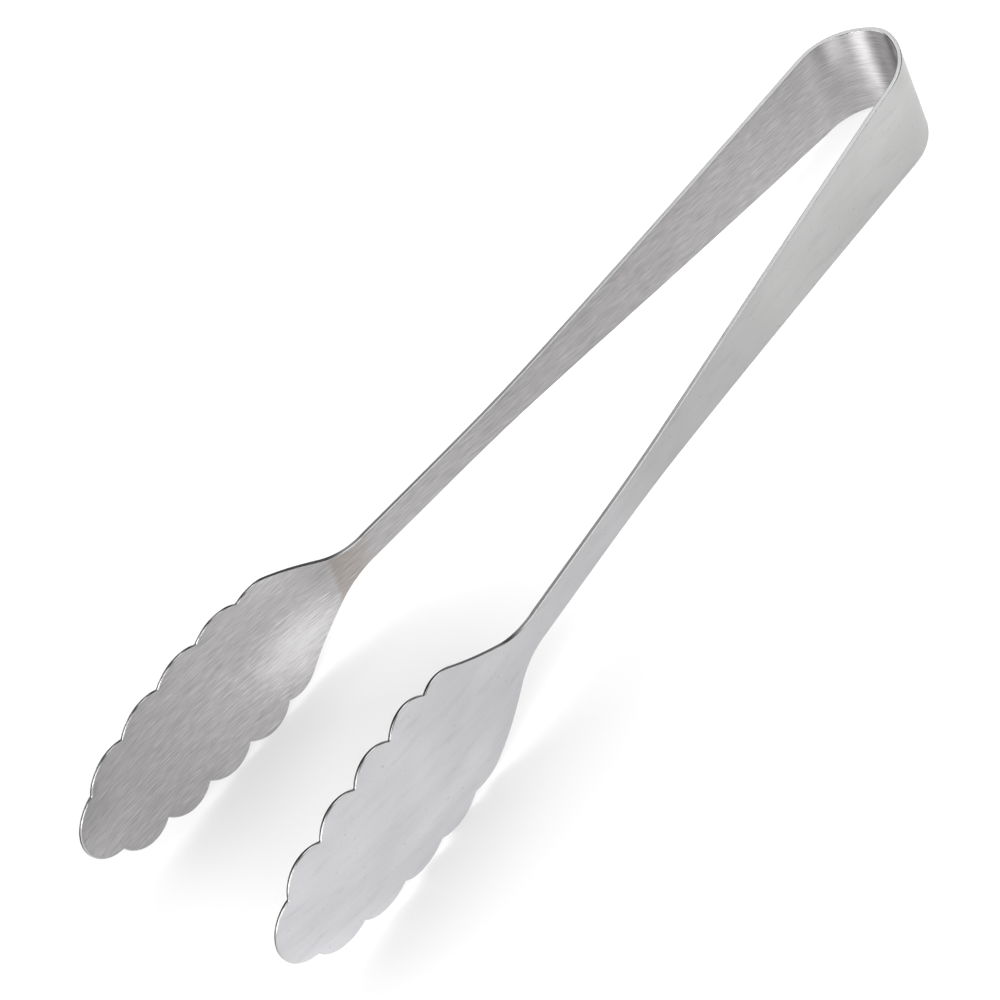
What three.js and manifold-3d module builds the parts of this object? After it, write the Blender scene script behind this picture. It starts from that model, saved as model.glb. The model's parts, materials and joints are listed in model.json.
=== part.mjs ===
// Spring tongs stamped and formed from one strip of stainless steel, in millimetres, +Z up.
//
// The strip is bent into a U at the bow, which is the spring. Two flat arms taper from the bow to a
// narrow neck, and each ends in a dished, leaf-shaped blade with a scalloped edge. The strip is divided
// into sections where it flexes, so that each section can turn on the next one.
//
// A place on the strip is given by its station, the length along the strip from the top of the bow, by
// its distance across from the middle line, and by its lift from the middle of the thickness, positive
// towards the outside of the tongs. Flat, unbent metal has x = -station, y = lift and z = across.

import * as THREE from 'three';
import { mergeVertices } from 'three/addons/utils/BufferGeometryUtils.js';
import Module from 'manifold-3d';

const wasm = await Module();
wasm.setup();

const degrees = Math.PI / 180;

// ---- Driving dimensions ----

const thickness = 1.2;
const gap = 0.3; // between sections that follow each other

// The bow: a tighter crown at its top, then a wider bend on each side down to the arm.
const bowHalfWidth = 12.3;
const crownRadius = 6.8;
const crownAngle = 20 * degrees;
const shoulderRadius = 15.9;
const armAngle = 3.8 * degrees; // between an arm's first stretch and the tongs' middle line

// The arms: they part further by armFlare along their length, and taper to the neck.
const armLength = 160;
const armFlare = 1.5 * degrees;
const armTaper = 0.079; // half-width lost per millimetre
const neckHalfWidth = 3.8;
const taperStartSoftness = 0.25; // how gently the taper begins and ends
const taperEndSoftness = 1;

// The neck turns the blade outwards, and the blade then curves back in.
const neckBend = 5.6 * degrees;
const neckBendLength = 15;
const bladeRadius = 286;

// The blade's outline, with its stations counted from the neck. The valleys between its lobes stand
// valleyPitch apart on an ellipse.
const leafCentre = 35;
const leafHalfLength = 52;
const leafHalfWidth = 17.5;
const firstValley = 26.4;
const valleyPitch = 13;
const valleyCount = 5;
const lobeRadius = 9;
const bladeTip = 86.3;
const shoulderLean = 0.42; // from the first valley back to the shoulder's crest, in lobe radii
const flankAngle = 34 * degrees;
const neckFilletRadius = 20;

// The dish: the blade's rims stand in from its middle, as on a shallow spoon.
const dishRadius = 80;
const dishStart = 4;
const dishFull = 26;

// Where the strip is divided, as stations from the end of the bow, and the bow's own division.
const crownHalfAngle = 45 * degrees;
const shoulderEnd = 22;
const upperHandleEnd = 68;
const bladeStart = armLength - 8;

// How finely curves are divided.
const walkStep = 0.1;
const arcPoints = 6;
const crownSteps = 20;
const handleSteps = { shoulder: 16, upper: 8, lower: 16 };
const bladeSteps = { along: 20, across: 8 };
const cutterDepth = 24;
const trimming = 4; // blank metal outside the blade's outline

// ---- The strip's middle line ----

const crownLength = crownRadius * crownAngle;
const quarterTurn = Math.PI / 2 - armAngle;
const bowLength = crownLength + shoulderRadius * (quarterTurn - crownAngle);
const crownEnd = crownLength + shoulderRadius * (crownHalfAngle - crownAngle);
const neckStation = bowLength + armLength;

function smoothStep(value) {
  const t = THREE.MathUtils.clamp(value, 0, 1);
  return t * t * (3 - 2 * t);
}

// The angle through which the strip has turned at a station. At the top of the bow it runs along +Y.
function heading(station) {
  if (station <= crownLength) return station / crownRadius;
  if (station <= bowLength) return crownAngle + (station - crownLength) / shoulderRadius;
  const alongArm = Math.min((station - bowLength) / armLength, 1);
  const flare = armFlare * alongArm * (2 - alongArm);
  const pastNeck = station - neckStation;
  const bend = neckBend * smoothStep(pastNeck / neckBendLength + 0.5);
  const returnBend = Math.max(pastNeck, 0) / bladeRadius;
  return quarterTurn - flare - bend + returnBend;
}

// Points along the middle line at equal steps, found by following the heading from the bow's top.
const walk = [new THREE.Vector2(crownRadius, 0)];
for (let i = 0; i * walkStep < neckStation + bladeTip + 2 * trimming; i += 1) {
  const angle = heading((i + 0.5) * walkStep);
  const last = walk[walk.length - 1];
  walk.push(new THREE.Vector2(last.x - walkStep * Math.sin(angle), last.y + walkStep * Math.cos(angle)));
}

// The right-hand half of the crown has negative stations and mirrors the left.
function middleLine(station) {
  const steps = Math.abs(station) / walkStep;
  const index = Math.floor(steps);
  const point = walk[index].clone().lerp(walk[index + 1], steps - index);
  const angle = heading(Math.abs(station));
  return station < 0
    ? { x: point.x, y: -point.y, angle: -angle }
    : { x: point.x, y: point.y, angle };
}

// The place and direction of the strip at a station: x back towards the bow, y outwards, z up.
function stripFrame(station) {
  const { x, y, angle } = middleLine(station);
  return new THREE.Matrix4().makeRotationZ(angle - Math.PI / 2).setPosition(x, y, 0);
}

// ---- Forming sheet metal ----

function dishDepth(station, across) {
  const pastNeck = station - neckStation;
  const growth = smoothStep((pastNeck - dishStart) / (dishFull - dishStart));
  return growth * across * across / (2 * dishRadius);
}

// Bends flat geometry to the strip's shape.
function form(geometry) {
  const position = geometry.attributes.position;
  for (let i = 0; i < position.count; i += 1) {
    const station = -position.getX(i);
    const across = position.getZ(i);
    const lift = position.getY(i) - dishDepth(station, across);
    const { x, y, angle } = middleLine(station);
    position.setXYZ(i, x + lift * Math.cos(angle), y + lift * Math.sin(angle), across);
  }
  return geometry;
}

// Flat sheet between two stations, as fine as the bending needs.
function sheet(from, to, halfWidth, lengthSteps, widthSteps) {
  const geometry = new THREE.BoxGeometry(to - from, thickness, 2, lengthSteps, 1, widthSteps);
  geometry.translate(-(from + to) / 2, 0, 0);
  const position = geometry.attributes.position;
  for (let i = 0; i < position.count; i += 1) {
    position.setZ(i, position.getZ(i) * halfWidth(-position.getX(i)));
  }
  return geometry;
}

function toSolid(geometry) {
  const bare = geometry.clone();
  bare.deleteAttribute('normal');
  bare.deleteAttribute('uv');
  const merged = mergeVertices(bare, 1e-4);
  return new wasm.Manifold(new wasm.Mesh({
    numProp: 3,
    vertProperties: new Float32Array(merged.attributes.position.array),
    triVerts: new Uint32Array(merged.index.array),
  }));
}

function toGeometry(solid) {
  const mesh = solid.getMesh();
  const geometry = new THREE.BufferGeometry();
  geometry.setAttribute('position', new THREE.BufferAttribute(mesh.vertProperties, 3));
  geometry.setIndex(new THREE.BufferAttribute(mesh.triVerts, 1));
  geometry.computeVertexNormals();
  return geometry;
}

// ---- Outlines ----

// A positive value stays as it is, and a negative one becomes 0, with a rounded corner between.
function softPositive(value, softness) {
  return (value + Math.hypot(value, softness)) / 2;
}

function armHalfWidth(station) {
  const lost = softPositive(armTaper * (station - bowLength), taperStartSoftness);
  return neckHalfWidth + softPositive(bowHalfWidth - neckHalfWidth - lost, taperEndSoftness);
}

function valley(index) {
  const station = firstValley + index * valleyPitch;
  const along = (station - leafCentre) / leafHalfLength;
  return new THREE.Vector2(station, leafHalfWidth * Math.sqrt(1 - along * along));
}

// The centre of a circle through two points, on the middle line's side of them.
function circleThrough(a, b, radius) {
  const half = b.clone().sub(a).multiplyScalar(0.5);
  const inward = new THREE.Vector2(half.y, -half.x).normalize();
  return a.clone().add(half).addScaledVector(inward, Math.sqrt(radius * radius - half.lengthSq()));
}

function arcTo(path, centre, radius, from, to, clockwise) {
  const start = Math.atan2(from.y - centre.y, from.x - centre.x);
  const end = Math.atan2(to.y - centre.y, to.x - centre.x);
  path.absarc(centre.x, centre.y, radius, start, end, clockwise);
}

// One edge of the blade from neck to tip, with x as the station from the neck and y across.
function bladeEdge() {
  const first = valley(0);
  const last = valley(valleyCount - 1);
  const slope = new THREE.Vector2(Math.cos(flankAngle), Math.sin(flankAngle));
  const outward = new THREE.Vector2(-slope.y, slope.x);

  // The shoulder is a lobe that ends at the first valley. The flank is tangent to it and to the fillet
  // at the neck.
  const shoulder = new THREE.Vector2(first.x - lobeRadius * shoulderLean, 0);
  shoulder.y = first.y - Math.sqrt(lobeRadius ** 2 - (first.x - shoulder.x) ** 2);
  const filletY = neckHalfWidth + neckFilletRadius;
  const reach = neckFilletRadius + lobeRadius - (filletY - shoulder.y) * slope.x;
  const fillet = new THREE.Vector2(shoulder.x - reach / slope.y, filletY);

  const path = new THREE.Path();
  path.moveTo(bladeStart - armLength + gap / 2, neckHalfWidth);
  const filletStart = new THREE.Vector2(fillet.x, neckHalfWidth);
  const filletEnd = fillet.clone().addScaledVector(outward, -neckFilletRadius);
  arcTo(path, fillet, neckFilletRadius, filletStart, filletEnd, false);
  arcTo(path, shoulder, lobeRadius, shoulder.clone().addScaledVector(outward, lobeRadius), first, true);
  for (let i = 1; i < valleyCount; i += 1) {
    const centre = circleThrough(valley(i - 1), valley(i), lobeRadius);
    arcTo(path, centre, lobeRadius, valley(i - 1), valley(i), true);
  }
  const beforeTip = bladeTip - last.x;
  const tipRadius = (beforeTip * beforeTip + last.y * last.y) / (2 * beforeTip);
  const tip = new THREE.Vector2(bladeTip, 0);
  arcTo(path, new THREE.Vector2(bladeTip - tipRadius, 0), tipRadius, last, tip, true);
  return path.getPoints(arcPoints);
}

function bladeOutline() {
  const upper = bladeEdge();
  const lower = upper.slice(0, -1).reverse().map((point) => new THREE.Vector2(point.x, -point.y));
  return [...upper, ...lower].map((point) => new THREE.Vector2(-neckStation - point.x, point.y));
}

// ---- The sections ----

function crownGeometry() {
  const half = crownEnd - gap / 2;
  return form(sheet(-half, half, () => bowHalfWidth, crownSteps, 1));
}

function handleGeometry(from, to, lengthSteps) {
  return form(sheet(from + gap / 2, to - gap / 2, armHalfWidth, lengthSteps, 1));
}

// The blade is cut from formed sheet by a cutter with the blade's outline that is bent with it.
function bladeGeometry() {
  const from = bowLength + bladeStart + gap / 2;
  const to = neckStation + bladeTip + trimming;
  const blankHalfWidth = leafHalfWidth + trimming;
  const blank = form(sheet(from, to, () => blankHalfWidth, bladeSteps.along, bladeSteps.across));
  const cutter = new THREE.ExtrudeGeometry(new THREE.Shape(bladeOutline()), {
    depth: cutterDepth,
    bevelEnabled: false,
  });
  cutter.rotateX(Math.PI / 2);
  cutter.translate(0, cutterDepth / 2, 0);
  return toGeometry(toSolid(blank).intersect(toSolid(form(cutter))));
}

// ---- The assembly ----

function steel(color, roughness) {
  return new THREE.MeshStandardMaterial({ color, roughness, metalness: 1 });
}

const bowSteel = () => steel(0xb8b7b5, 0.3);
const handleSteel = () => steel(0xaba9a8, 0.38);
const bladeSteel = () => steel(0xb4b3b3, 0.35);

// A group that stands at a station and is placed inside a group that stands at an earlier one.
function hinge(station, parentFrame) {
  const group = new THREE.Group();
  const frame = stripFrame(station);
  parentFrame.clone().invert().multiply(frame).decompose(group.position, group.quaternion, group.scale);
  return { group, frame };
}

// Adds a section whose geometry is given in the tongs' own frame to the group that it turns with.
function addSection(parent, name, geometry, material) {
  geometry.applyMatrix4(parent.frame.clone().invert());
  const mesh = new THREE.Mesh(geometry, material);
  mesh.name = name;
  parent.group.add(mesh);
}

function arm(side) {
  const base = new THREE.Group();
  const shoulder = hinge(crownEnd, new THREE.Matrix4());
  const upper = hinge(bowLength + shoulderEnd, shoulder.frame);
  const lower = hinge(bowLength + upperHandleEnd, upper.frame);
  base.add(shoulder.group);
  shoulder.group.add(upper.group);
  upper.group.add(lower.group);

  const upperStart = bowLength + shoulderEnd;
  const lowerStart = bowLength + upperHandleEnd;
  const lowerEnd = bowLength + bladeStart;
  addSection(shoulder, `${side}_bow_shoulder`,
    handleGeometry(crownEnd, upperStart, handleSteps.shoulder), bowSteel());
  addSection(upper, `${side}_upper_handle`,
    handleGeometry(upperStart, lowerStart, handleSteps.upper), handleSteel());
  addSection(lower, `${side}_lower_handle`,
    handleGeometry(lowerStart, lowerEnd, handleSteps.lower), handleSteel());
  addSection(lower, `${side}_blade`, bladeGeometry(), bladeSteel());
  return base;
}

// Lying on its edges, the object rests on the bow and on the blades' lowest lobes. This is the angle
// of the line under them.
function restingTilt(object) {
  const point = new THREE.Vector3();
  const points = [];
  object.updateMatrixWorld(true);
  object.traverse((mesh) => {
    if (!mesh.isMesh) return;
    const position = mesh.geometry.attributes.position;
    for (let i = 0; i < position.count; i += 1) {
      points.push(point.fromBufferAttribute(position, i).applyMatrix4(mesh.matrixWorld).clone());
    }
  });
  const bowEnd = Math.max(...points.map((p) => p.x));
  const slopes = points.filter((p) => p.x < 0).map((p) => (-p.z - bowHalfWidth) / (bowEnd - p.x));
  return Math.atan(Math.max(...slopes));
}

const tongs = new THREE.Group();
const crown = new THREE.Mesh(crownGeometry(), bowSteel());
crown.name = 'bow_crown';
const leftArm = arm('left');
const rightArm = arm('right');
rightArm.rotation.x = Math.PI; // the strip is the same above and below its middle
tongs.add(crown, leftArm, rightArm);

// It lies on z = 0 with the origin under the middle of its bounding box.
const assembly = new THREE.Group();
tongs.rotation.y = restingTilt(tongs);
assembly.add(tongs);
const bounds = new THREE.Box3().setFromObject(assembly, true);
const centre = bounds.getCenter(new THREE.Vector3());
tongs.position.set(-centre.x, -centre.y, -bounds.min.z);

export default assembly;
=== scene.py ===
"""Spring tongs: the visual model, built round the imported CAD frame.

The real tongs are one strip of stainless steel. Here the strip is cut into one piece for each part of
it that bends or moves as a whole, and every piece ends where its neighbour starts, so no seam shows.
The strip's shape repeats the CAD's driving dimensions, in millimetres, and is placed by the frame.
"""
import json
import math

import bpy
import numpy as np
from mathutils import Matrix, Vector


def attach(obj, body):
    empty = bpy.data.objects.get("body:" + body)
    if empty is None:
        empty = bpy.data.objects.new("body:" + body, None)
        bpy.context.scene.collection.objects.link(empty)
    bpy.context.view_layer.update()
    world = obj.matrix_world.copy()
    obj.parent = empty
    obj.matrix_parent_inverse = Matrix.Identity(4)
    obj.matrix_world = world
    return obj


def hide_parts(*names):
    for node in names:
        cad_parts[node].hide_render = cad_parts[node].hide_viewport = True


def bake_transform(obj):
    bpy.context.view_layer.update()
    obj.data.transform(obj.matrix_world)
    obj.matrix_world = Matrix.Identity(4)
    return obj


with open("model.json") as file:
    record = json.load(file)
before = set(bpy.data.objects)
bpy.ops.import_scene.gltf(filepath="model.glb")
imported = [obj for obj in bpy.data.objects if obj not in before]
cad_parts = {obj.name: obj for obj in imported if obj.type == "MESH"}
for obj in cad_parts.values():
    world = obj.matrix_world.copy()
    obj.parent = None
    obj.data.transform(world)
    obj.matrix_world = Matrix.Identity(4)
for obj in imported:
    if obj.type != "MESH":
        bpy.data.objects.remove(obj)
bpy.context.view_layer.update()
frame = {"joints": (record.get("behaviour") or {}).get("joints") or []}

MM = 0.001

# ---- The strip's driving dimensions, in millimetres and degrees, as in the CAD ----

THICKNESS = 1.2
BOW_HALF_WIDTH = 12.3
CROWN_RADIUS = 6.8
CROWN_ANGLE = 20.0
SHOULDER_RADIUS = 15.9
ARM_ANGLE = 3.8
ARM_LENGTH = 160.0
ARM_FLARE = 1.5
ARM_TAPER = 0.079  # half-width lost per millimetre
NECK_HALF_WIDTH = 3.8
TAPER_START_SOFTNESS = 0.25  # how gently the taper begins and ends
TAPER_END_SOFTNESS = 1.0
NECK_BEND = 5.6
NECK_BEND_LENGTH = 15.0
BLADE_RADIUS = 286.0
LEAF_CENTRE = 35.0
LEAF_HALF_LENGTH = 52.0
LEAF_HALF_WIDTH = 17.5
FIRST_VALLEY = 26.4
VALLEY_PITCH = 13.0
VALLEY_COUNT = 5
LOBE_RADIUS = 9.0
BLADE_TIP = 86.3
SHOULDER_LEAN = 0.42  # from the first valley back to the shoulder's crest, in lobe radii
FLANK_ANGLE = 34.0
NECK_FILLET_RADIUS = 20.0
# The dish: the blade's rims stand in from its middle, as on a shallow spoon.
DISH_RADIUS = 80.0
DISH_START = 4.0
DISH_FULL = 26.0
# Where the strip is divided, on the bow and on the arm.
CROWN_HALF_ANGLE = 45.0
SHOULDER_END = 22.0
UPPER_HANDLE_END = 68.0

CROWN_LENGTH = CROWN_RADIUS * math.radians(CROWN_ANGLE)
QUARTER_TURN = math.radians(90 - ARM_ANGLE)
BOW_LENGTH = CROWN_LENGTH + SHOULDER_RADIUS * (QUARTER_TURN - math.radians(CROWN_ANGLE))
NECK = BOW_LENGTH + ARM_LENGTH
TIP = NECK + BLADE_TIP

# The stations of each side's three hinges.
HINGES = (
    CROWN_LENGTH + SHOULDER_RADIUS * math.radians(CROWN_HALF_ANGLE - CROWN_ANGLE),
    BOW_LENGTH + SHOULDER_END,
    BOW_LENGTH + UPPER_HANDLE_END,
)

# ---- Where the visual strip differs from the CAD, in millimetres ----

# It is this much thinner and narrower all round, to stay inside the CAD box.
INSET = 0.02
# The edges between faces and rims are rounded to this radius.
EDGE_ROUND = 0.22
# The blades' rims are worn thinner than the rest, over their last few millimetres.
RIM_THINNING = 0.18
RIM_BAND = 2.5

# ---- How finely the visual strip is made, in millimetres ----

EDGE_STEPS = 4
STATION_STEP = 1.0
BOW_STEP = 0.35
BLADE_STEP = 0.3
ARM_ACROSS_STEPS = 16
BLADE_ACROSS_STEPS = 32
WALK_STEP = 0.05
WALK_SPARE = 5.0  # past the tip, for the slopes there

# ---- Where one piece ends and the next starts ----

CROWN_PIECE = 4.0
SHOULDER_PIECE = 26.0
UPPER_PIECE = 66.0
LOWER_PIECE = 140.0


# ---- The strip's shape ----

def smooth_step(value):
    t = np.clip(value, 0, 1)
    return t * t * (3 - 2 * t)


def heading(station):
    """The angle through which the strip has turned at a station. At the bow's top it runs along +Y."""
    crown = station / CROWN_RADIUS
    shoulder = math.radians(CROWN_ANGLE) + (station - CROWN_LENGTH) / SHOULDER_RADIUS
    along = np.clip((station - BOW_LENGTH) / ARM_LENGTH, 0, 1)
    flare = math.radians(ARM_FLARE) * along * (2 - along)
    bend = math.radians(NECK_BEND) * smooth_step((station - NECK) / NECK_BEND_LENGTH + 0.5)
    back = np.maximum(station - NECK, 0) / BLADE_RADIUS
    arm = QUARTER_TURN - flare - bend + back
    return np.where(station <= CROWN_LENGTH, crown, np.where(station <= BOW_LENGTH, shoulder, arm))


# The middle line, walked from the bow's top in small steps.
WALK = np.arange(0, TIP + WALK_SPARE, WALK_STEP)
WALK_HEADING = heading(WALK[:-1] + WALK_STEP / 2)
WALK_X = CROWN_RADIUS - np.concatenate(([0], np.cumsum(np.sin(WALK_HEADING)))) * WALK_STEP
WALK_Y = np.concatenate(([0], np.cumsum(np.cos(WALK_HEADING)))) * WALK_STEP


def formed(station, across, lift, side):
    """Places in the strip's own frame. The right side is the left one turned about the long axis."""
    length = np.abs(station)
    half = np.sign(station) + (station == 0)
    angle = heading(length)
    growth = smooth_step((length - NECK - DISH_START) / (DISH_FULL - DISH_START))
    lift = lift - growth * across ** 2 / (2 * DISH_RADIUS)
    x = np.interp(length, WALK, WALK_X) + lift * np.cos(angle)
    y = half * (np.interp(length, WALK, WALK_Y) + lift * np.sin(angle))
    return np.stack([x, side * y, side * across], axis=-1)


def row_frame():
    """The strip's frame in the row frame, from the first left hinge's place and axis."""
    hinge = next(j for j in frame["joints"] if j["name"] == "left_squeeze")
    up = Vector(hinge["axis"]).normalized()
    across = Vector((0, 1, 0))
    turn = Matrix((across.cross(up), across, up)).transposed()
    station = np.array(HINGES[0])
    local = Vector(formed(station, np.array(0.0), np.array(0.0), 1)) * MM
    return turn.to_4x4() @ Matrix.Scale(MM, 4), Vector(hinge["pos_m"]) - turn @ local


TURN, SHIFT = row_frame()


def to_row(points):
    matrix = np.array(TURN)[:3, :3]
    return points @ matrix.T + np.array(SHIFT)


# ---- Outlines: each is the upper edge, as rows of station and half-width ----

def soft_positive(value, softness):
    return (value + np.hypot(value, softness)) / 2


def arm_half_width(station):
    lost = soft_positive(ARM_TAPER * (station - BOW_LENGTH), TAPER_START_SOFTNESS)
    spare = BOW_HALF_WIDTH - NECK_HALF_WIDTH - lost
    return NECK_HALF_WIDTH + soft_positive(spare, TAPER_END_SOFTNESS)


def arm_edge(start, end, step):
    count = max(2, round((end - start) / step) + 1)
    station = np.linspace(start, end, count)
    return np.stack([station, arm_half_width(np.abs(station))], axis=-1)


def valley(index):
    station = FIRST_VALLEY + index * VALLEY_PITCH
    along = (station - LEAF_CENTRE) / LEAF_HALF_LENGTH
    return np.array([station, LEAF_HALF_WIDTH * math.sqrt(1 - along * along)])


def circle_through(a, b, radius):
    half = (b - a) / 2
    inward = np.array([half[1], -half[0]]) / np.linalg.norm(half)
    return a + half + inward * math.sqrt(radius ** 2 - half @ half)


def arc(centre, start, end):
    """Points from start to end round a centre, the short way and without the end."""
    radius = np.linalg.norm(start - centre)
    a = math.atan2(*(start - centre)[::-1])
    b = math.atan2(*(end - centre)[::-1])
    turn = (b - a + math.pi) % (2 * math.pi) - math.pi
    count = max(2, round(abs(turn) * radius / BLADE_STEP))
    angles = a + turn * np.arange(count) / count
    return centre + radius * np.stack([np.cos(angles), np.sin(angles)], axis=-1)


def line(start, end):
    count = max(2, round(np.linalg.norm(end - start) / BLADE_STEP))
    return start + (end - start) * (np.arange(count) / count)[:, None]


def leaf_edge():
    """The blade's upper edge, from the fillet at its neck to its tip, with stations from the neck."""
    first, last = valley(0), valley(VALLEY_COUNT - 1)
    flank = math.radians(FLANK_ANGLE)
    slope = np.array([math.cos(flank), math.sin(flank)])
    outward = np.array([-slope[1], slope[0]])
    lean = LOBE_RADIUS * SHOULDER_LEAN
    shoulder = first - np.array([lean, math.sqrt(LOBE_RADIUS ** 2 - lean ** 2)])
    fillet_height = NECK_HALF_WIDTH + NECK_FILLET_RADIUS
    reach = NECK_FILLET_RADIUS + LOBE_RADIUS - (fillet_height - shoulder[1]) * slope[0]
    fillet = np.array([shoulder[0] - reach / slope[1], fillet_height])
    flank_start = fillet - outward * NECK_FILLET_RADIUS
    flank_end = shoulder + outward * LOBE_RADIUS
    tip = np.array([BLADE_TIP, 0.0])
    before_tip = BLADE_TIP - last[0]
    tip_radius = (before_tip ** 2 + last[1] ** 2) / (2 * before_tip)
    tip_centre = tip - np.array([tip_radius, 0])
    stretches = [
        arc(fillet, fillet - np.array([0, NECK_FILLET_RADIUS]), flank_start),
        line(flank_start, flank_end),
        arc(shoulder, flank_end, first),
    ]
    for index in range(1, VALLEY_COUNT):
        a, b = valley(index - 1), valley(index)
        stretches.append(arc(circle_through(a, b, LOBE_RADIUS), a, b))
    stretches.append(arc(tip_centre, last, tip))
    return np.vstack(stretches + [tip]) + np.array([NECK, 0])


def blade_edge(start):
    leaf = leaf_edge()
    arm = arm_edge(start, leaf[0][0], STATION_STEP)[:-1]
    return np.vstack([arm, leaf])


# ---- Making a mesh from an edge ----

def edge_normals(edge):
    """The direction out of the metal at each point of an upper edge, in its plane."""
    along = np.gradient(edge, axis=0)
    normal = np.stack([-along[:, 1], along[:, 0]], axis=-1)
    return normal / np.linalg.norm(normal, axis=1, keepdims=True)


# The order of METALS, the materials of every piece.
INNER, OUTER, RIM, CORNER = range(4)


def ring_kinds(across_steps):
    """Which material each stretch of a ring has, in the ring's own order."""
    edge = [CORNER] * EDGE_STEPS + [RIM] + [CORNER] * EDGE_STEPS
    return [INNER] * across_steps + edge + [OUTER] * across_steps + edge


def across_shares(across_steps):
    """Fractions of the half-width from one edge to the other, closer together near the edges."""
    angles = math.pi * np.arange(across_steps + 1) / across_steps
    return np.sin(math.pi / 2 * np.cos(angles))


def ring(edge_point, normal, across_steps):
    """One closed loop round the strip: inner face, lower edge, outer face, upper edge.

    Each row is a point's station, across and lift, then its normal in the same three directions.
    """
    station, top = edge_point - normal * (EDGE_ROUND + INSET)
    worn = RIM_THINNING * smooth_step((station - NECK) / DISH_FULL)
    shares = across_shares(across_steps)
    lifts = THICKNESS / 2 - INSET - worn * (1 - smooth_step(top * (1 - abs(shares)) / RIM_BAND))
    half = lifts[0]
    inner = [(station, top * k, -lift, 0, 0, -1) for k, lift in zip(shares, lifts)]
    outer = [(station, -top * k, lift, 0, 0, 1) for k, lift in zip(shares, lifts)]

    def rounded(sign):
        rows = []
        for centre, start in ((EDGE_ROUND - half, -90), (half - EDGE_ROUND, 0)):
            for step in range(EDGE_STEPS + 1):
                angle = math.radians(start + 90 * step / EDGE_STEPS)
                out = EDGE_ROUND * math.cos(angle)
                rows.append((
                    station + normal[0] * out,
                    sign * (top + normal[1] * out),
                    centre + EDGE_ROUND * math.sin(angle),
                    normal[0] * math.cos(angle),
                    sign * normal[1] * math.cos(angle),
                    math.sin(angle),
                ))
        return rows[1:-1]

    return inner + rounded(-1) + outer + rounded(1)[::-1]


def bent_normals(rows, side):
    """Turns normals given along, across and out of the strip into normals in the strip's frame."""
    small_step = 0.01
    at = rows[:, :3]

    def slope(direction):
        step = np.array(direction) * small_step
        ahead, behind = at + step, at - step
        change = formed(*ahead.T, side) - formed(*behind.T, side)
        return change / np.linalg.norm(change, axis=1, keepdims=True)

    along, across = slope((1, 0, 0)), slope((0, 1, 0))
    out = np.cross(across, along)
    out *= np.sign(np.sum(out * slope((0, 0, 1)), axis=1))[:, None]
    normal = rows[:, 3:4] * along + rows[:, 4:5] * across + rows[:, 5:6] * out
    return normal / np.linalg.norm(normal, axis=1, keepdims=True)


def skin_faces(ring_count, across_steps, same):
    """The faces between rings, as places in the rings, and each face's material.

    The ring at a blade's tip is squeezed to a line, so corners at the same place are counted once.
    """
    kinds_round = ring_kinds(across_steps)
    size = len(kinds_round)
    faces, kinds = [], []
    for k in range(ring_count - 1):
        for j in range(size):
            quad = [k * size + j, (k + 1) * size + j,
                    (k + 1) * size + (j + 1) % size, k * size + (j + 1) % size]
            kept = [c for i, c in enumerate(quad) if same[c] != same[quad[i - 1]]]
            if len(kept) >= 3:
                faces.append(kept)
                kinds.append(kinds_round[j])
    return faces, kinds


def end_caps(edge, size):
    """The flat cut ends, as places in the rings. A blade has none at its tip."""
    caps = [list(range(size))]
    if edge[-1][1] > 0:
        caps.append([(len(edge) - 1) * size + j for j in range(size)][::-1])
    return caps


def set_normals(mesh, normals, cap_count):
    """Gives each corner the strip's own normal, and leaves the cut ends flat."""
    for polygon in mesh.polygons[-cap_count:]:
        normals[polygon.loop_start:polygon.loop_start + polygon.loop_total] = polygon.normal
    mesh.normals_split_custom_set(normals.tolist())


def strip_piece(name, edge, side, across_steps):
    """A closed piece of the strip. Its UV map, strip, holds the station and the distance across."""
    rings = [ring(p, n, across_steps) for p, n in zip(edge, edge_normals(edge))]
    rows = np.array(rings, float).reshape(-1, 6)
    points = to_row(formed(*rows[:, :3].T, side))
    normals = bent_normals(rows, side) @ np.array(TURN.to_3x3().normalized()).T
    uv = np.stack([side * rows[:, 0], side * rows[:, 1] + rows[:, 2]], axis=-1) * MM
    _, first, same = np.unique(
        np.round(points, 8), axis=0, return_index=True, return_inverse=True)
    same = same.ravel()
    faces, kinds = skin_faces(len(rings), across_steps, same)
    caps = end_caps(edge, len(rings[0]))
    faces += caps
    kinds += [RIM] * len(caps)
    corners = [c for face in faces for c in face]

    mesh = bpy.data.meshes.new(name)
    mesh.from_pydata(points[first].tolist(), [], [[same[c] for c in face] for face in faces])
    mesh.uv_layers.new(name="strip")
    mesh.uv_layers["strip"].data.foreach_set("uv", uv[corners].astype(np.float32).ravel())
    for material in METALS:
        mesh.materials.append(material)
    mesh.polygons.foreach_set("material_index", kinds)
    mesh.polygons.foreach_set("use_smooth", [True] * len(faces))
    set_normals(mesh, normals[corners], len(caps))
    mesh.update()
    piece = bpy.data.objects.new(name, mesh)
    # The steel throws no bounced light on the floor, so the shadows stay soft and even.
    piece.visible_diffuse = False
    bpy.context.scene.collection.objects.link(piece)
    return piece


# ---- Materials. The UV map, strip, gives each point's station and distance across, in metres ----

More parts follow.
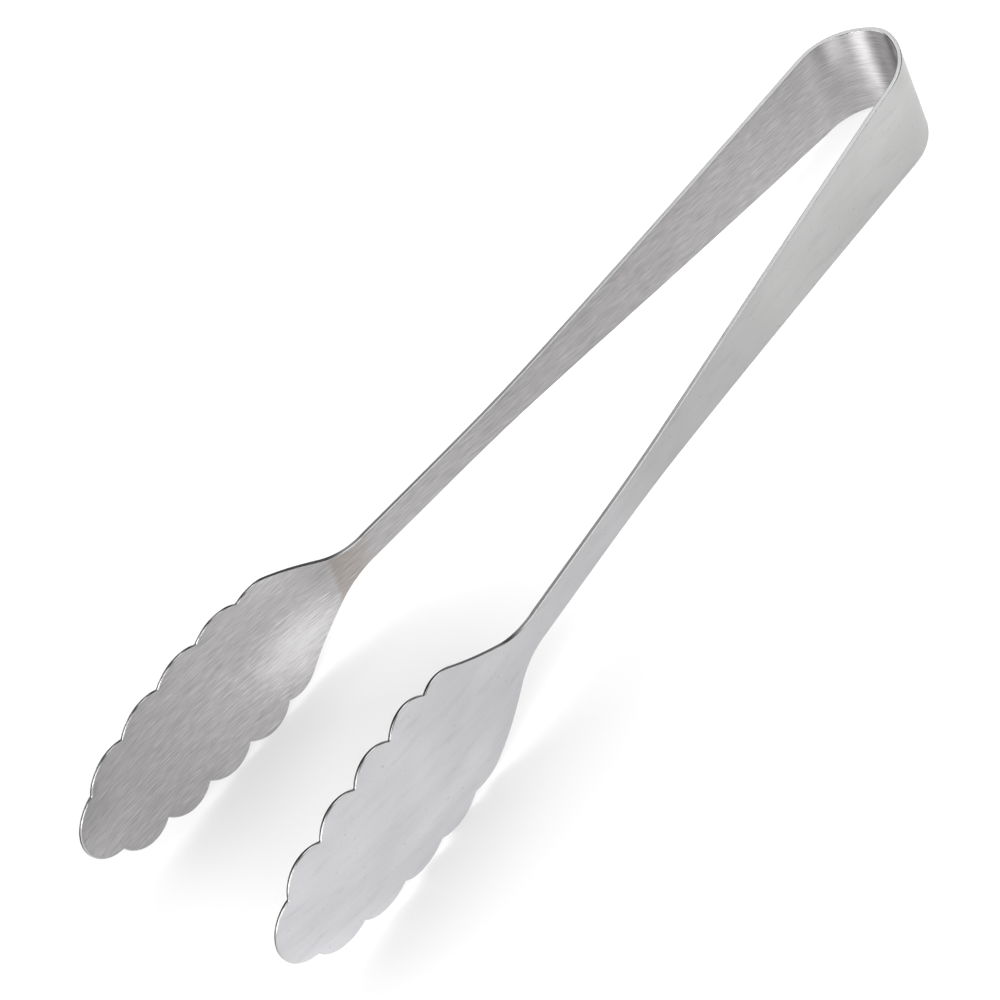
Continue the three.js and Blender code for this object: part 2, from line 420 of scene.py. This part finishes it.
class Shading:
    """Adds nodes to a new metal material and joins them up."""

    def __init__(self, name):
        self.material = bpy.data.materials.new(name)
        self.material.use_nodes = True
        self.tree = self.material.node_tree
        self.shader = self.tree.nodes["Principled BSDF"]
        self.shader.inputs["Metallic"].default_value = 1.0
        self.place = self.add("ShaderNodeUVMap", uv_map="strip").outputs["UV"]

    def add(self, kind, **settings):
        node = self.tree.nodes.new(kind)
        for key, value in settings.items():
            setattr(node, key, value)
        return node

    def put(self, socket, value):
        """Joins a node's output to the socket, or sets the socket to a plain value."""
        if isinstance(value, bpy.types.NodeSocket):
            self.tree.links.new(value, socket)
        else:
            socket.default_value = value

    def math(self, operation, *values):
        node = self.add("ShaderNodeMath", operation=operation)
        for socket, value in zip(node.inputs, values):
            self.put(socket, value)
        return node.outputs["Value"]

    def times(self, first, *others):
        for other in others:
            first = self.math("MULTIPLY", first, other)
        return first

    def ranged(self, value, start, end, low, high):
        """Eases from low, where the value is at start, to high, where it is at end."""
        node = self.add("ShaderNodeMapRange", interpolation_type="SMOOTHSTEP")
        for key, setting in (("Value", value), ("From Min", start), ("From Max", end),
                             ("To Min", low), ("To Max", high)):
            self.put(node.inputs[key], setting)
        return node.outputs["Result"]

    def mixed(self, share, first, second):
        """A colour between two, by share."""
        node = self.add("ShaderNodeMix", data_type="VECTOR")
        self.put(node.inputs["Factor"], share)
        self.put(node.inputs["A"], first)
        self.put(node.inputs["B"], second)
        return node.outputs["Result"]

    def noise(self, length, width, detail=2.0, angle=0.0):
        """Noise of about this length and width in millimetres, turned by an angle in degrees."""
        turned = self.add("ShaderNodeMapping")
        self.put(turned.inputs["Vector"], self.place)
        self.put(turned.inputs["Rotation"], (0, 0, -math.radians(angle)))
        stretched = self.add("ShaderNodeMapping")
        self.put(stretched.inputs["Vector"], turned.outputs["Vector"])
        self.put(stretched.inputs["Scale"], (1 / (length * MM), 1 / (width * MM), 1))
        node = self.add("ShaderNodeTexNoise")
        self.put(node.inputs["Vector"], stretched.outputs["Vector"])
        self.put(node.inputs["Scale"], 1.0)
        self.put(node.inputs["Detail"], detail)
        return node.outputs["Fac"]

    def station_and_across(self):
        """The distance from the top of the bow and the distance across, both in millimetres."""
        parts = self.add("ShaderNodeSeparateXYZ")
        self.put(parts.inputs["Vector"], self.place)
        station = self.math("ABSOLUTE", self.times(parts.outputs["X"], 1 / MM))
        return station, self.times(parts.outputs["Y"], 1 / MM)

    def oval_distance(self, place, centre, radii):
        """The distance from an oval's centre, as a share of its radius that way."""
        squares = []
        for value, middle, radius in zip(place, centre, radii):
            offset = self.math("SUBTRACT", value, middle)
            squares.append(self.math("POWER", self.times(offset, 1 / radius), 2.0))
        return self.math("SQRT", self.math("ADD", *squares))

    def finish(self, colour, tone, roughness, rough, height, depth, grain):
        """Joins up the shader. Tone and rough are factors that vary the colour and the roughness.

        The height, from 0 to 1, is a bump this many millimetres deep. Grain is the anisotropy.
        """
        tint = self.add("ShaderNodeVectorMath", operation="SCALE")
        self.put(tint.inputs[0], colour)
        self.put(tint.inputs["Scale"], tone)
        self.put(self.shader.inputs["Base Color"], tint.outputs["Vector"])
        self.put(self.shader.inputs["Roughness"], self.times(rough, roughness))
        bump = self.add("ShaderNodeBump")
        self.put(bump.inputs["Distance"], depth * MM)
        self.put(bump.inputs["Height"], height)
        self.put(self.shader.inputs["Normal"], bump.outputs["Normal"])
        tangent = self.add("ShaderNodeTangent", direction_type="UV_MAP", uv_map="strip")
        self.put(self.shader.inputs["Tangent"], tangent.outputs["Tangent"])
        self.shader.inputs["Anisotropic"].default_value = grain
        # The highlight stretches along the tangent, so the tangent is turned to lie across the grain.
        self.shader.inputs["Anisotropic Rotation"].default_value = 0.25
        return self.material


# Where painted light and shade sit on the inner faces, in millimetres: stations, then distances
# across.
# Painted shade inside the crown, standing in for the dark reflection there.
CROWN_PAINTED_SHADE = (2, 6)
# Painted light on the bow's shoulder.
SHOULDER_PAINTED_LIGHT = (12, 20)
# The neck band: painted shade at the crease where the blade dips into its dish, and a warmer tint.
NECK_BAND_START = (NECK - 10, NECK - 1)
NECK_BAND_END = (NECK + 2.0, NECK + 3.6)
NECK_BAND_SLANT = 0.12
# A painted highlight on the blade's root, standing in for the bright reflection there.
ROOT_HIGHLIGHT_CENTRE = (NECK + 16, -7.5)
ROOT_HIGHLIGHT_RADII = (17, 8.5)
TIP_SHADE = (NECK + 66, NECK + 82)
TIP_SHADE_ACROSS = (-3, 6)

# Noise stays mostly between these values, so they map to the ends of a tone's range.
USUAL = (0.3, 0.7)


def brushed_steel(name, colour, grain, angle):
    """The inner faces: lengthwise brushing, with painted light, shade and glints, and a painted
    highlight on each blade's root.
    """
    s = Shading(name)
    hair = s.noise(6.5, 0.22, 3, angle)
    # Painted glints: sparse bright scratches in the colour, brighter on the blade's root.
    painted_glints = s.noise(4.5, 0.22, 1, angle + 1)
    dashes = s.noise(3.0, 0.20, 2, angle - 2)
    streaks = s.noise(30, 1.6, 2, angle)
    clouds = s.noise(16, 9, 2)
    station, across = s.station_and_across()
    # The neck band darkens with painted shade and takes a warmer tint.
    slanted = s.math("ADD", station, s.times(across, NECK_BAND_SLANT))
    neck_shade_and_tint = s.times(s.ranged(slanted, *NECK_BAND_START, 0, 1),
                        s.ranged(slanted, *NECK_BAND_END, 1, 0))
    from_root_highlight = s.oval_distance((station, across), ROOT_HIGHLIGHT_CENTRE, ROOT_HIGHLIGHT_RADII)
    tip_shade = s.times(s.ranged(station, *TIP_SHADE, 0, 1),
                        s.ranged(across, *TIP_SHADE_ACROSS, 0, 1))
    # Painted light and shade along the bow, arm, neck and blade, then the painted crown shade, root
    # highlight and glints, then the brushing, then the painted shade at the neck and tip.
    tone = s.times(
        s.ranged(station, *SHOULDER_PAINTED_LIGHT, 1.0, 1.10),
        s.ranged(station, BOW_LENGTH, BOW_LENGTH + 82, 0.90, 0.645),
        s.ranged(station, BOW_LENGTH + 100, NECK, 1.0, 1.32),
        s.ranged(station, NECK, NECK + 15, 1.0, 1.17),
        s.ranged(station, NECK + 35, NECK + 70, 1.0, 0.80),
        s.ranged(station, *CROWN_PAINTED_SHADE, 0.50, 1.0),
        s.ranged(from_root_highlight, 0.0, 1.3, 1.50, 1.0),
        s.ranged(painted_glints, 0.60, 0.69, 1.0, s.ranged(from_root_highlight, 0.4, 1.8, 1.6, 1.14)),
        s.ranged(hair, *USUAL, 0.84, 1.15),
        s.ranged(dashes, *USUAL, 0.90, 1.10),
        s.ranged(streaks, *USUAL, 0.97, 1.03),
        s.ranged(clouds, *USUAL, 0.96, 1.04),
        s.math("SUBTRACT", 1.0, s.times(neck_shade_and_tint, 0.15)),
        s.math("SUBTRACT", 1.0, s.times(tip_shade, 0.20)),
    )
    warm = s.mixed(neck_shade_and_tint, colour, (colour[0] * 1.03, colour[1] * 0.98, colour[2] * 0.93))
    rough = s.times(s.ranged(hair, *USUAL, 1.1, 0.9), s.ranged(clouds, *USUAL, 0.94, 1.06))
    height = s.math("ADD", hair, s.times(dashes, 0.5))
    return s.finish(warm, tone, 0.42, rough, height, 0.006, grain)


def satin_steel(name, bow_colour, blade_colour, roughness, grain):
    """The outer faces: a smooth satin finish with faint smears, pores and specks, and painted light
    and shade along the strip.
    """
    s = Shading(name)
    pores = s.noise(0.9, 0.6, 3)
    wipes = s.noise(24, 4.5, 3, -7)
    smears = s.noise(11, 2.2, 4, -9)
    clouds = s.noise(30, 18, 2)
    specks = s.noise(1.6, 0.8, 1)
    station, across = s.station_and_across()
    # Painted light on the blade's lower side, standing in for the floor's reflection there.
    lower_side_painted_light = s.times(s.ranged(station, NECK + 5, NECK + 25, 0, 1),
                         s.ranged(across, -10, 2, 0.16, 0))
    # Painted light on the blade's lower side and painted light and shade along the strip, then the
    # finish's own detail.
    tone = s.times(
        s.math("ADD", 1.0, lower_side_painted_light),
        s.ranged(station, BOW_LENGTH, BOW_LENGTH + 70, 0.99, 0.89),
        s.ranged(station, BOW_LENGTH + 90, NECK - 10, 1.0, 1.33),
        s.ranged(station, NECK + 10, NECK + 45, 1.0, 1.10),
        s.ranged(pores, *USUAL, 0.985, 1.015),
        s.ranged(wipes, *USUAL, 0.95, 1.03),
        s.ranged(smears, 0.52, 0.75, 1.01, 0.92),
        s.ranged(clouds, *USUAL, 0.95, 1.045),
        s.ranged(specks, 0.71, 0.77, 1.0, 0.78),
    )
    rough = s.times(s.ranged(wipes, *USUAL, 0.9, 1.1), s.ranged(pores, *USUAL, 0.95, 1.05))
    height = s.math("ADD", pores, wipes)
    towards_blade = s.ranged(station, BOW_LENGTH + 50, NECK + 10, 0, 1)
    colour = s.mixed(towards_blade, bow_colour, blade_colour)
    return s.finish(colour, tone, roughness, rough, height, 0.0015, grain)


def sheared_steel(name, colour):
    """The cut rims: light round the bow and darker towards the blades, with fine lines along them. The
    darkening is painted shade, standing in for the dark reflection on the blades' rims.
    """
    s = Shading(name)
    lines = s.noise(7, 0.16, 2)
    nicks = s.noise(1.1, 0.4, 2)
    station, _ = s.station_and_across()
    tone = s.times(
        s.ranged(lines, *USUAL, 0.86, 1.08),
        s.ranged(nicks, 0.66, 0.76, 1.0, 0.85),
        # Painted shade towards the blades.
        s.ranged(station, BOW_LENGTH + 20, NECK - 10, 1.0, 0.42),
        s.ranged(station, NECK - 5, NECK + 12, 1.0, 0.25),
    )
    rough = s.ranged(lines, *USUAL, 0.9, 1.1)
    return s.finish(colour, tone, 0.30, rough, lines, 0.003, 0.0)


def polished_steel(name, colour):
    """The rounded corners between the rims and the faces, darker round the bow with painted shade."""
    s = Shading(name)
    nicks = s.noise(1.8, 0.5, 3)
    station, _ = s.station_and_across()
    # The ramp along the strip is painted shade that dims the corners' highlight round the bow.
    tone = s.times(s.ranged(nicks, 0.55, 0.75, 1.0, 0.85),
                   s.ranged(station, BOW_LENGTH, NECK, 0.75, 1.0))
    rough = s.ranged(nicks, *USUAL, 0.9, 1.1)
    return s.finish(colour, tone, 0.22, rough, nicks, 0.0002, 0.0)


METALS = (
    brushed_steel("inner_steel", (0.607, 0.594, 0.597), 0.93, 6),
    satin_steel("outer_steel", (0.468, 0.466, 0.464), (0.478, 0.474, 0.491), 0.39, 0.6),
    sheared_steel("rim_steel", (0.50, 0.50, 0.50)),
    polished_steel("corner_steel", (0.50, 0.50, 0.50)),
)


def add_bending(side_name, side, node, edge):
    piece = strip_piece(f"{side_name}_{node}_steel", edge, side, ARM_ACROSS_STEPS)
    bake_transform(piece)
    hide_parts(f"{side_name}_{node}")


crown_edge = arm_edge(-CROWN_PIECE, CROWN_PIECE, BOW_STEP)
crown = strip_piece("bow_crown_steel", crown_edge, 1, ARM_ACROSS_STEPS)
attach(crown, "bow")
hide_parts("bow_crown")

for side_name, side in (("left", 1), ("right", -1)):
    shoulder, upper, lower = (f"{side_name}_{part}" for part in ("shoulder", "upper_arm", "lower_arm"))
    add_bending(side_name, side, "bow_shoulder", arm_edge(CROWN_PIECE, SHOULDER_PIECE, BOW_STEP))
    add_bending(side_name, side, "upper_handle", arm_edge(SHOULDER_PIECE, UPPER_PIECE, STATION_STEP))
    add_bending(side_name, side, "lower_handle", arm_edge(UPPER_PIECE, LOWER_PIECE, STATION_STEP))
    blade_name = f"{side_name}_blade_steel"
    blade = strip_piece(blade_name, blade_edge(LOWER_PIECE), side, BLADE_ACROSS_STEPS)
    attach(blade, lower)
    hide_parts(f"{side_name}_blade", f"{side_name}_lower_handle")


# ---- The stage, camera and lights ----

FLOOR_HALF_SIZE = 6.0
# The floor glows faintly from behind the left arm to the bow, and not far from the tongs. The ramp
# runs along the glow's direction and the reach outwards from the middle of the tongs, in metres.
GLOW = 0.3
GLOW_DIRECTION = (1.0, 1.2, 0.0)
GLOW_RAMP = (-0.05, 0.04)
GLOW_REACH = (0.2, 0.8)


def glow_part(tree, place, operation, ramp, low, high):
    """A share of the glow, from the floor's place measured by a vector operation."""
    measure = tree.nodes.new("ShaderNodeVectorMath")
    measure.operation = operation
    measure.inputs[1].default_value = GLOW_DIRECTION
    fade = tree.nodes.new("ShaderNodeMapRange")
    settings = {"From Min": ramp[0], "From Max": ramp[1], "To Min": low, "To Max": high}
    for label, value in settings.items():
        fade.inputs[label].default_value = value
    tree.links.new(place, measure.inputs[0])
    tree.links.new(measure.outputs["Value"], fade.inputs["Value"])
    return fade.outputs["Result"]


def floor_material():
    """A matt off-white that gives off a little light of its own towards the bow."""
    material = bpy.data.materials.new("floor_white")
    material.use_nodes = True
    tree = material.node_tree
    shader = tree.nodes["Principled BSDF"]
    shader.inputs["Base Color"].default_value = (0.82, 0.82, 0.82, 1)
    shader.inputs["Roughness"].default_value = 0.9
    shader.inputs["Specular IOR Level"].default_value = 0.1
    shader.inputs["Emission Color"].default_value = (1, 1, 1, 1)
    place = tree.nodes.new("ShaderNodeTexCoord").outputs["Object"]
    glow = tree.nodes.new("ShaderNodeMath")
    glow.operation = "MULTIPLY"
    along = glow_part(tree, place, "DOT_PRODUCT", GLOW_RAMP, 0.0, GLOW)
    near = glow_part(tree, place, "LENGTH", GLOW_REACH, 1.0, 0.0)
    tree.links.new(along, glow.inputs[0])
    tree.links.new(near, glow.inputs[1])
    tree.links.new(glow.outputs["Value"], shader.inputs["Emission Strength"])
    return material


def make_floor():
    size = FLOOR_HALF_SIZE
    mesh = bpy.data.meshes.new("floor")
    corners = [(x * size, y * size, 0) for x, y in ((-1, -1), (1, -1), (1, 1), (-1, 1))]
    mesh.from_pydata(corners, [], [(0, 1, 2, 3)])
    mesh.materials.append(floor_material())
    floor = bpy.data.objects.new("floor", mesh)
    bpy.context.scene.collection.objects.link(floor)


def direction(azimuth, elevation):
    """Towards a viewer, with azimuth 0 on the -Y side."""
    a, e = math.radians(azimuth), math.radians(elevation)
    return Vector((math.sin(a) * math.cos(e), -math.cos(a) * math.cos(e), math.sin(e)))


CAMERA_AZIMUTH = -29.06
CAMERA_ELEVATION = 46.89
CAMERA_ROLL = -28.7
CAMERA_AIM = Vector((-0.0141, 0.0033, 0.02))
CAMERA_DISTANCE = 1.1388
CAMERA_LENS = 187.1
CAMERA_SENSOR = 36


def make_camera():
    back = direction(CAMERA_AZIMUTH, CAMERA_ELEVATION)
    right = direction(CAMERA_AZIMUTH + 90, 0)
    up = back.cross(right)
    r = math.radians(CAMERA_ROLL)
    image_right = right * math.cos(r) + up * math.sin(r)
    image_up = up * math.cos(r) - right * math.sin(r)
    data = bpy.data.cameras.new("camera")
    data.lens = CAMERA_LENS
    data.sensor_width = CAMERA_SENSOR
    camera = bpy.data.objects.new("camera", data)
    turn = Matrix((image_right, image_up, back)).transposed()
    camera.matrix_world = Matrix.Translation(CAMERA_AIM + back * CAMERA_DISTANCE) @ turn.to_4x4()
    bpy.context.scene.collection.objects.link(camera)
    bpy.context.scene.camera = camera


def make_light(name, azimuth, elevation, distance, size, power, over=Vector((0, 0, 0))):
    """A square soft light, seen from the point it is over in this direction, and facing it."""
    data = bpy.data.lights.new(name, "AREA")
    data.shape = "SQUARE"
    data.size = size
    data.energy = power
    light = bpy.data.objects.new(name, data)
    back = direction(azimuth, elevation)
    light.location = over + back * distance
    light.rotation_euler = back.to_track_quat("Z", "Y").to_euler()
    bpy.context.scene.collection.objects.link(light)


def make_world():
    world = bpy.data.worlds.new("studio")
    world.use_nodes = True
    background = world.node_tree.nodes["Background"]
    background.inputs["Color"].default_value = (1, 1, 1, 1)
    background.inputs["Strength"].default_value = 0.015
    bpy.context.scene.world = world


make_floor()
make_camera()
make_world()
# Each light's azimuth and elevation in degrees, distance and size in metres, and power in watts.
make_light("left_window", -67, 20, 1.6, 0.65, 15)
make_light("camera_side", -24, 20, 1.6, 0.7, 9)
make_light("front_fill", -30, 60, 1.6, 1.0, 1)
make_light("right_fill", 30, 25, 1.6, 1.0, 5)
make_light("back_left", -121, 26, 1.8, 1.7, 20)
make_light("back_left_high", -128, 52, 1.8, 1.3, 10)
make_light("back_high", 180, 68, 1.6, 1.2, 2)
make_light("back_right", 130, 38, 1.6, 1.0, 4)
OVER_BOW = Vector((0.34, 0, 0))
make_light("over_bow", 0, 89.9, 0.65, 0.6, 2.5, OVER_BOW)
bpy.context.scene.view_settings.view_transform = "Standard"
